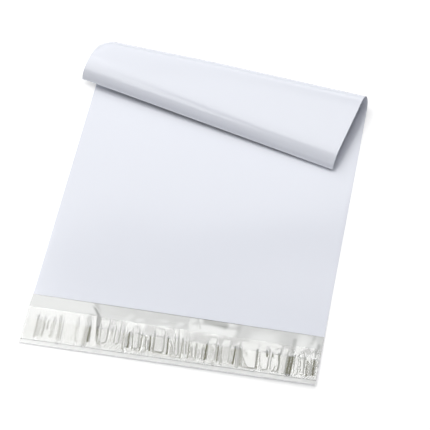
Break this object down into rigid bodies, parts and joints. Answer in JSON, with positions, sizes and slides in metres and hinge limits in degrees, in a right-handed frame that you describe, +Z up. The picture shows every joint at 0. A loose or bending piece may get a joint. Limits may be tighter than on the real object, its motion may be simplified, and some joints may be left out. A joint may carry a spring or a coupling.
{
  "type": "poly mailer bag",
  "caption": "Flat film mailing pouch with side welds, an open adhesive flap with a release liner, and its closed end rolled forward over the front.",
  "frame": {"origin": "middle of the bag's footprint, on the surface that it lies on", "axes": "+Z up, out of the front panel; +Y from the flap toward the rolled closed end; +X across the bag to its right side as seen from above with the flap toward the viewer"},
  "size_m": [0.2666, 0.3106, 0.0195],
  "materials": {
    "white_film": "satin opaque white polyethylene film, silver grey on its inner face",
    "hot_melt_adhesive": "clear tacky hot-melt coat over grey film",
    "clear_release_film": "clear glossy siliconed film"
  },
  "bodies": {
    "root": {"mailer_pouch": "white_film", "adhesive_strip": "hot_melt_adhesive", "release_liner": "clear_release_film"}
  },
  "joints": []
}
